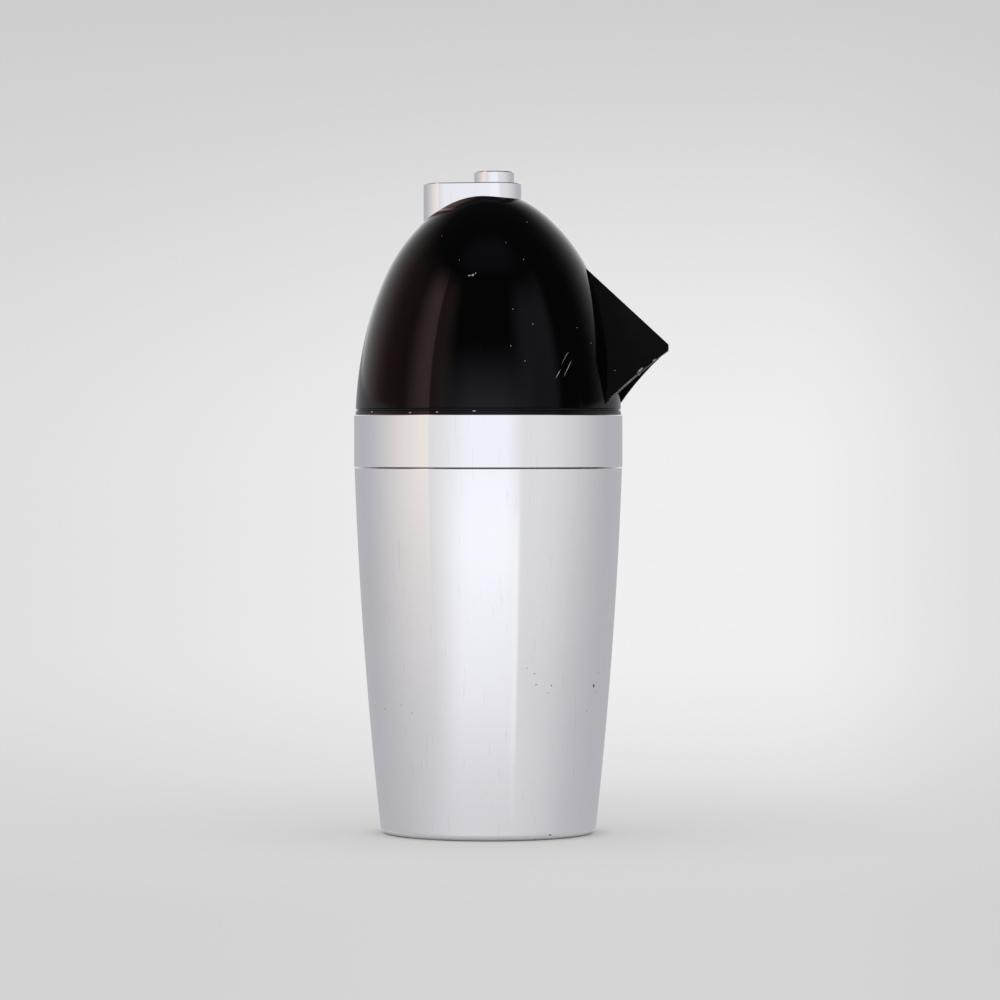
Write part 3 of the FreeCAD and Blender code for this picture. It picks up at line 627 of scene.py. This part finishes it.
def nozzle_hole():
    """A rod out along +X to cut the nozzle tube's hole."""
    bm = bmesh.new()
    profile = [(0, 0), (NOZZLE_HOLE_R, 0), (NOZZLE_HOLE_R, DOME_R), (0, DOME_R)]
    turn(bm, profile, segments=HOLE_SEGMENTS)
    for vert in bm.verts:
        x, y, z = vert.co
        vert.co = (z + NOZZLE_HOLE_R, y, NOZZLE_Z - x)
    return mesh_object("cutter", bm, [])


def close_rims(bm):
    """Joins two open rims of equal length, the inner and the outer, with a ring of faces."""
    open_edges = [edge for edge in bm.edges if len(edge.link_faces) == 1]
    bmesh.ops.bridge_loops(bm, edges=open_edges)


def solid_dome():
    """The space under the dome's outside, to fit the hood against."""
    bm = bmesh.new()
    profile = [(0, BOTTLE_H), (DOME_R, BOTTLE_H), (DOME_R, DOME_CENTRE_Z)]
    for step in range(1, SIDE_STEPS):
        angle = math.pi / 2 * step / SIDE_STEPS
        profile.append(dome_point(angle))
    turn(bm, profile + [(0, dome_point(math.pi / 2)[1])])
    return mesh_object("cutter", bm, [])


def box(low, high):
    bm = bmesh.new()
    bmesh.ops.create_cube(bm, size=1)
    size = Vector(high) - Vector(low)
    middle = (Vector(high) + Vector(low)) / 2
    for vert in bm.verts:
        vert.co = Vector((vert.co.x * size.x, vert.co.y * size.y, vert.co.z * size.z)) + middle
    return mesh_object("cutter", bm, [])


def hood():
    """Two flat walls folded along a ridge, open below."""
    tip = Vector((HOOD_TIP_X, 0, HOOD_TIP_Z))
    ridge_foot = Vector((dome_radius(HOOD_RIDGE_Z), 0, HOOD_RIDGE_Z))
    root_r = dome_radius(HOOD_ROOT_Z)
    root_x = math.sqrt(root_r ** 2 - HOOD_ROOT_Y ** 2)
    ridge_back = tip + (ridge_foot - tip) * HOOD_OVERRUN
    roots = [Vector((root_x, side * HOOD_ROOT_Y, HOOD_ROOT_Z)) for side in (1, -1)]
    inward = [wall_normal(tip, ridge_back, root) * HOOD_WALL for root in roots]
    bm = bmesh.new()
    outer_fold = [bm.verts.new(tip), bm.verts.new(ridge_back)]
    inner_fold = [bm.verts.new(point + fold_drop(inward)) for point in (tip, ridge_back)]
    for root, step_in, bow in zip(roots, inward, HOOD_BOWS):
        edge = lower_edge(tip, ridge_foot, root, bow)
        outer = [outer_fold[0]] + [bm.verts.new(point) for point in edge]
        inner = [inner_fold[0]] + [bm.verts.new(point + step_in) for point in edge]
        bm.faces.new([outer_fold[1]] + outer)
        bm.faces.new([inner_fold[1]] + inner)
        bm.faces.new((outer_fold[1], outer[-1], inner[-1], inner_fold[1]))
        for here in range(len(edge)):
            bm.faces.new((outer[here], outer[here + 1], inner[here + 1], inner[here]))
    made = mesh_object("hood_enamel", bm, [hood_enamel], FOLD_ANGLE)
    reach = DOME_R
    nose = box(
        (HOOD_NOSE_X, -reach, HOOD_TIP_Z - reach),
        (HOOD_NOSE_X + reach, reach, HOOD_TIP_Z + reach),
    )
    floor = box((0, -reach, 0), (2 * reach, reach, BAND_HIGH.z))
    made = cut(made, [nose, floor, solid_dome()], FOLD_ANGLE)
    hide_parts("spout_hood")
    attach(made, "head")
    return made


def lower_edge(tip, ridge_foot, root, bow):
    """A wall's lower edge, bowed, from near the tip to beyond the root."""
    along, ridge = root - tip, ridge_foot - tip
    away = (along * ridge.dot(along) / along.length_squared - ridge).normalized()
    points = []
    for step in range(1, HOOD_BOW_STEPS + 1):
        share = step / HOOD_BOW_STEPS
        points.append(tip + along * share + away * bow * 4 * share * (1 - share))
    return points + [tip + along * HOOD_OVERRUN]


def wall_normal(tip, ridge_back, root):
    """A unit normal of one wall that points into the hood."""
    normal = (ridge_back - tip).cross(root - tip).normalized()
    return normal if normal.y * root.y < 0 else -normal


def fold_drop(inward):
    """The step from the outer ridge down to the inner one."""
    middle = (inward[0] + inward[1]) / 2
    return middle * (HOOD_WALL / middle.length) ** 2


def bridge():
    """A bar with round ends and a rounded top edge, bored for the button and the gas bulb."""
    edge = BRIDGE_EDGE_R
    profile = [(BRIDGE_R, BRIDGE_LOW.z)]
    profile += arc(BRIDGE_R - edge, BRIDGE_HIGH.z - edge, edge, 0, 90)
    body = mesh_object("bridge_chrome", stadium(profile), [chrome])
    bores = [
        rod(BUTTON_BORE_R, BRIDGE_LOW.z - MM, BRIDGE_HIGH.z + MM, BUTTON_X),
        rod(CHARGER_BORE_R, BRIDGE_LOW.z - MM, BRIDGE_HIGH.z + MM, CHARGER_X),
    ]
    made = cut(body, bores)
    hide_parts("bridge_housing")
    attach(made, "head")
    return made


def button():
    radius = (BUTTON_HIGH.x - BUTTON_LOW.x) / 2
    edge = BUTTON_EDGE_R
    profile = [(0, BUTTON_LOW.z), (radius, BUTTON_LOW.z)]
    profile += arc(radius - edge, BUTTON_HIGH.z - edge, edge, 0, 90)
    profile += [(0, BUTTON_HIGH.z)]
    made = turned_object("button_chrome", profile, chrome, BUTTON_X)
    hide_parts("button")
    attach(made, "plunger")
    return made


def charger_plug():
    radius = (PLUG_HIGH.x - PLUG_LOW.x) / 2
    edge = PLUG_EDGE_R
    profile = [(0, PLUG_LOW.z), (radius, PLUG_LOW.z)]
    profile += arc(radius - edge, PLUG_HIGH.z - edge, edge, 0, 90)
    profile += [(0, PLUG_HIGH.z)]
    body = turned_object("charger_plug_chrome", profile, chrome, CHARGER_X)
    slot = box(
        (CHARGER_X - COIN_SLOT_W / 2, -2 * radius, PLUG_HIGH.z - COIN_SLOT_DEPTH),
        (CHARGER_X + COIN_SLOT_W / 2, 2 * radius, PLUG_HIGH.z + MM),
    )
    made = cut(body, [slot])
    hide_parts("charger_plug")
    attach(made, "plug")
    return made


# Marks of use, and the hood edge's painted highlight, each a thin closed chip set into the surface that
# carries it

def picture_ray(x, y):
    """The camera's place and the way it looks through a point of the picture."""
    sine, cosine = math.sin(CAMERA_TURN), math.cos(CAMERA_TURN)
    right, forward = Vector((cosine, sine, 0)), Vector((-sine, cosine, 0))
    place = forward * -CAMERA_DISTANCE + Vector((0, 0, CAMERA_HEIGHT))
    scale = FRAME_WIDTH / PICTURE_SIZE
    aim = forward * CAMERA_DISTANCE + right * (x - AXIS_X) * scale + Vector((0, 0, (HORIZON_Y - y) * scale))
    return place, aim.normalized()


def on_surface(carrier, x, y):
    """Where a point of the picture lies on a piece, and the surface's direction there."""
    found, place, normal, index = carrier.ray_cast(*picture_ray(x, y))
    return (place, normal) if found else None


def flake(bm, carrier, points):
    """A thin closed chip over an outline, just proud of the surface and set into it."""
    top, low = [], []
    for point in points:
        found, place, normal, index = carrier.closest_point_on_mesh(point)
        top.append(bm.verts.new(place + normal * FLAKE_RISE))
        low.append(bm.verts.new(place - normal * FLAKE_DEPTH))
    bm.faces.new(top)
    bm.faces.new(list(reversed(low)))
    for here in range(len(top)):
        there = (here + 1) % len(top)
        bm.faces.new((top[here], low[here], low[there], top[there]))


def chip(bm, carrier, place, normal, size, random_draw, long=1.0, lean=0.0):
    """An irregular chip of a size in metres, stretched, and leaned by an angle in radians."""
    side = normal.orthogonal().normalized()
    if abs(normal.z) < 0.9:
        side = Vector((0, 0, 1)).cross(normal).normalized()
    up = normal.cross(side)
    points = []
    for step in range(CHIP_CORNERS):
        angle = 2 * math.pi * step / CHIP_CORNERS
        reach = size / 2 * random_draw.uniform(0.55, 1.0)
        across, along = reach * math.cos(angle) * long, reach * math.sin(angle) / long
        aside = across * math.cos(lean) - along * math.sin(lean)
        upward = across * math.sin(lean) + along * math.cos(lean)
        points.append(place + side * aside + up * upward)
    flake(bm, carrier, points)


def scratch(bm, carrier, ends, width, random_draw):
    """A thin strip between two points of the picture, that tapers at both ends."""
    (x0, y0), (x1, y1) = ends
    places = []
    for step in range(SCRATCH_STEPS + 1):
        share = step / SCRATCH_STEPS
        found = on_surface(carrier, x0 + (x1 - x0) * share, y0 + (y1 - y0) * share)
        if found:
            places.append(found)
    run = (places[-1][0] - places[0][0]).normalized()
    left, right = [], []
    for step, (place, normal) in enumerate(places):
        share = step / (len(places) - 1)
        half = width / 2 * (0.15 + math.sin(math.pi * share)) * random_draw.uniform(0.6, 1.1)
        aside = normal.cross(run).normalized() * half
        left.append(place + aside)
        right.append(place - aside)
    flake(bm, carrier, left + list(reversed(right)))


def marks(name, carrier, node_material, body, slot, chips=(), scratches=(), strays=0, seed=1):
    """Chips and scratches at points of the picture, and strays round the back, as one piece."""
    random_draw = random.Random(seed)
    bm = bmesh.new()
    for x, y, size, long, lean in chips:
        found = on_surface(carrier, x, y)
        if found:
            chip(bm, carrier, *found, size * MM, random_draw, long, math.radians(lean))
    for x0, y0, x1, y1, width in scratches:
        scratch(bm, carrier, ((x0, y0), (x1, y1)), width * MM, random_draw)
    low, high = [Vector(corner) for corner in (carrier.bound_box[0], carrier.bound_box[6])]
    for step in range(strays):
        angle = CAMERA_TURN + math.radians(random_draw.uniform(0, 180))
        height = low.z + (high.z - low.z) * random_draw.uniform(*STRAY_HEIGHTS)
        start = Vector((DOME_R * 2 * math.cos(angle), DOME_R * 2 * math.sin(angle), height))
        found, place, normal, index = carrier.ray_cast(start, -Vector((start.x, start.y, 0)).normalized())
        if found:
            chip(bm, carrier, place, normal, random_draw.uniform(*STRAY_SIZES) * MM, random_draw)
    made = mesh_object(name, bm, [node_material])
    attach(made, body)
    return made


def specks(places, size):
    """Chips of one size at points of the picture."""
    return [(x, y, size, 1.0, 0) for x, y in places]


def dome_marks(carrier):
    """Bright chips, slanting scratches and a worn lip."""
    chips = specks(DOME_SPECKS, DOME_SPECK) + DOME_CHIPS + LIP_CHIPS
    marks("dome_chips", carrier, bare_metal_and_highlight, "head", "steel", chips, DOME_SCRATCHES, 16, 3)


def bottle_marks(carrier):
    """Dark pits in the plate, and a notch in the base's edge."""
    chips = BOTTLE_PITS + specks(BOTTLE_SPECKS, BOTTLE_SPECK) + [BASE_NOTCH]
    marks("bottle_pits", carrier, pit_metal, "bottle", "steel", chips, (), 14, 5)


def hood_marks(carrier):
    """Bright strips along the near lower edge and towards the nose, a painted highlight of that edge
    together with its wear, and one chip.
    """
    marks("hood_edge_highlight_and_wear", carrier, bare_metal_and_highlight, "head", "steel", [HOOD_CHIP], HOOD_EDGE_HIGHLIGHT_AND_WEAR, 0, 7)


def return_spring():
    """The coil under the valve, as the CAD model has it."""
    made = link(bpy.data.objects.new("return_spring_coil", frame["nodes"]["return_spring"].data.copy()))
    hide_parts("return_spring")
    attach(made, "head")
    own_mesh(made)


# Studio

def direction_parts(tree):
    """Angles in degrees of a ray seen from the object: round from the camera, to the right, and up."""
    direction = tree.nodes.new("ShaderNodeTexCoord").outputs["Generated"]
    sine, cosine = math.sin(CAMERA_TURN), math.cos(CAMERA_TURN)

    def along(axis):
        node = tree.nodes.new("ShaderNodeVectorMath")
        node.operation = "DOT_PRODUCT"
        tree.links.new(direction, node.inputs[0])
        node.inputs[1].default_value = axis
        return node.outputs["Value"]

    toward, right, up = along((sine, -cosine, 0)), along((cosine, sine, 0)), along((0, 0, 1))
    around = math_node(tree, "DEGREES", math_node(tree, "ARCTAN2", right, toward))
    behind = math_node(tree, "SUBTRACT", 0.0, toward)
    aside = math_node(tree, "DEGREES", math_node(tree, "ARCTAN2", right, behind))
    height = math_node(tree, "DEGREES", math_node(tree, "ARCSINE", up))
    return around, aside, height


def add_light(tree, total, mask, colour):
    """Adds a colour of light where the mask is 1."""
    return mix(tree, mask, total, mix(tree, 1.0, total, (*colour, 1), "ADD"))


def strips(tree, around, even, plan):
    """An even light all round the object with soft upright strips added."""
    total = mix(tree, 1.0, (*even, 1), grey(0.0), "ADD")
    for sides, colour in plan:
        total = add_light(tree, total, between(tree, around, *sides), colour)
    return total


def table_light(tree, around, height):
    """What gloss shows from eye level down: pale walls, and a table with a sheen across its far end."""
    down = smooth(tree, math_node(tree, "SUBTRACT", 0.0, height), *TABLE_BLEND)
    walls = strips(tree, around, WALL_LIGHT, WALL_STRIPS)
    total = mix(tree, down, walls, strips(tree, around, TABLE_LIGHT, TABLE_STRIPS))
    for sides, heights, colour in TABLE_PANELS:
        total = panel(tree, total, around, height, sides, heights, colour)
    return total


def panel(tree, total, around, height, sides, heights, colour):
    """Adds a soft-edged panel of light. Sides and heights are (low, high, low edge, high edge) degrees."""
    mask = between(tree, around, *sides)
    mask = math_node(tree, "MULTIPLY", mask, between(tree, height, *heights))
    return add_light(tree, total, mask, colour)


def room_light(tree, around, height):
    """What gloss shows above eye level: a dark room with soft panels round the object."""
    total = mix(tree, 1.0, ROOM_LIGHT, grey(0.0), "ADD")
    for sides, heights, colour in ROOM_PANELS:
        total = panel(tree, total, around, height, sides, heights, colour)
    away = math_node(tree, "ABSOLUTE", around)
    return panel(tree, total, away, height, *BACK_PANEL)


def backdrop_light(tree, aside, height):
    """The pale backdrop that the camera sees, brightest low down behind the spout."""
    upward = smooth(tree, height, *BACKDROP_TABLE_EDGE)
    bright = mix(tree, upward, grey(BACKDROP_TABLE), grey(BACKDROP_BRIGHT))
    bright = mix(tree, smooth(tree, height, *BACKDROP_TOP_EDGE), bright, grey(BACKDROP_DIM))
    share = math_node(tree, "MULTIPLY", between(tree, aside, *BACKDROP_SIDES), 1.0 - BACKDROP_SIDE_SHARE)
    share = math_node(tree, "ADD", share, BACKDROP_SIDE_SHARE)
    return mix(tree, share, grey(BACKDROP_DIM), bright)


def studio_world():
    world = bpy.data.worlds.new("studio")
    world.use_nodes = True
    bpy.context.scene.world = world
    tree = world.node_tree
    around, aside, height = direction_parts(tree)
    room = room_light(tree, around, height)
    gloss = mix(tree, smooth(tree, height, *ROOM_BLEND), table_light(tree, around, height), room)
    backdrop = backdrop_light(tree, aside, height)
    path = tree.nodes.new("ShaderNodeLightPath")
    seen = mix(tree, path.outputs["Is Camera Ray"], (*[PLAIN_LIGHT] * 3, 1), backdrop)
    seen = mix(tree, path.outputs["Is Glossy Ray"], seen, gloss)
    tree.links.new(seen, tree.nodes["Background"].inputs["Color"])


def studio_floor():
    """A pale floor round the object that keeps its shadow and fades into the backdrop."""
    bm = bmesh.new()
    bmesh.ops.create_circle(bm, cap_ends=True, segments=96, radius=FLOOR_R)
    made = bpy.data.materials.new("floor")
    made.use_nodes = True
    tree = made.node_tree
    tree.nodes.remove(tree.nodes["Principled BSDF"])
    lit = tree.nodes.new("ShaderNodeBsdfDiffuse")
    lit.inputs["Color"].default_value = grey(FLOOR_LEVEL / PLAIN_LIGHT)
    glow = tree.nodes.new("ShaderNodeEmission")
    glow.inputs["Color"].default_value = grey(FLOOR_LEVEL)
    clear = tree.nodes.new("ShaderNodeBsdfTransparent")
    shade = tree.nodes.new("ShaderNodeMixShader")
    tree.links.new(glow.outputs[0], shade.inputs[1])
    tree.links.new(lit.outputs[0], shade.inputs[2])
    length = tree.nodes.new("ShaderNodeVectorMath")
    length.operation = "LENGTH"
    tree.links.new(object_place(tree), length.inputs[0])
    radius = length.outputs["Value"]
    foot = math_node(tree, "SUBTRACT", 1.0, smooth(tree, radius, *FLOOR_FOOT))
    share = math_node(tree, "MULTIPLY", foot, 1.0 - FLOOR_SHADE)
    tree.links.new(math_node(tree, "ADD", share, FLOOR_SHADE), shade.inputs["Fac"])
    fade = smooth(tree, radius, *FLOOR_FADE)
    far = smooth(tree, radius, *FLOOR_GLOSS)
    path = tree.nodes.new("ShaderNodeLightPath")
    fade = math_node(tree, "MAXIMUM", fade, math_node(tree, "MULTIPLY", far, path.outputs["Is Glossy Ray"]))
    cover = tree.nodes.new("ShaderNodeMixShader")
    tree.links.new(fade, cover.inputs["Fac"])
    tree.links.new(shade.outputs[0], cover.inputs[1])
    tree.links.new(clear.outputs[0], cover.inputs[2])
    tree.links.new(cover.outputs[0], tree.nodes["Material Output"].inputs["Surface"])
    mesh_object("floor", bm, [made])


def camera():
    data = bpy.data.cameras.new("camera")
    data.sensor_width = SENSOR
    data.lens = SENSOR * CAMERA_DISTANCE / FRAME_WIDTH
    data.shift_x = (PICTURE_SIZE / 2 - AXIS_X) / PICTURE_SIZE
    data.shift_y = (HORIZON_Y - PICTURE_SIZE / 2) / PICTURE_SIZE
    data.clip_start, data.clip_end = CAMERA_CLIP
    made = link(bpy.data.objects.new("camera", data))
    sine, cosine = math.sin(CAMERA_TURN), math.cos(CAMERA_TURN)
    made.location = (CAMERA_DISTANCE * sine, -CAMERA_DISTANCE * cosine, CAMERA_HEIGHT)
    made.rotation_euler = (math.radians(90), 0, CAMERA_TURN)
    bpy.context.scene.camera = made


# Build

for part in frame["record"]["subparts"]:
    data = frame["nodes"][part["node"]].data
    data.materials.clear()
    data.materials.append(SLOT_MATERIALS[part["material_slot"]])
bottle_piece, dome_piece, hood_piece = bottle(), dome(), hood()
band()
bridge()
button()
charger_plug()
return_spring()
bpy.context.view_layer.update()
dome_marks(dome_piece)
bottle_marks(bottle_piece)
hood_marks(hood_piece)
studio_world()
studio_floor()
camera()
bpy.context.scene.view_settings.view_transform = "Standard"
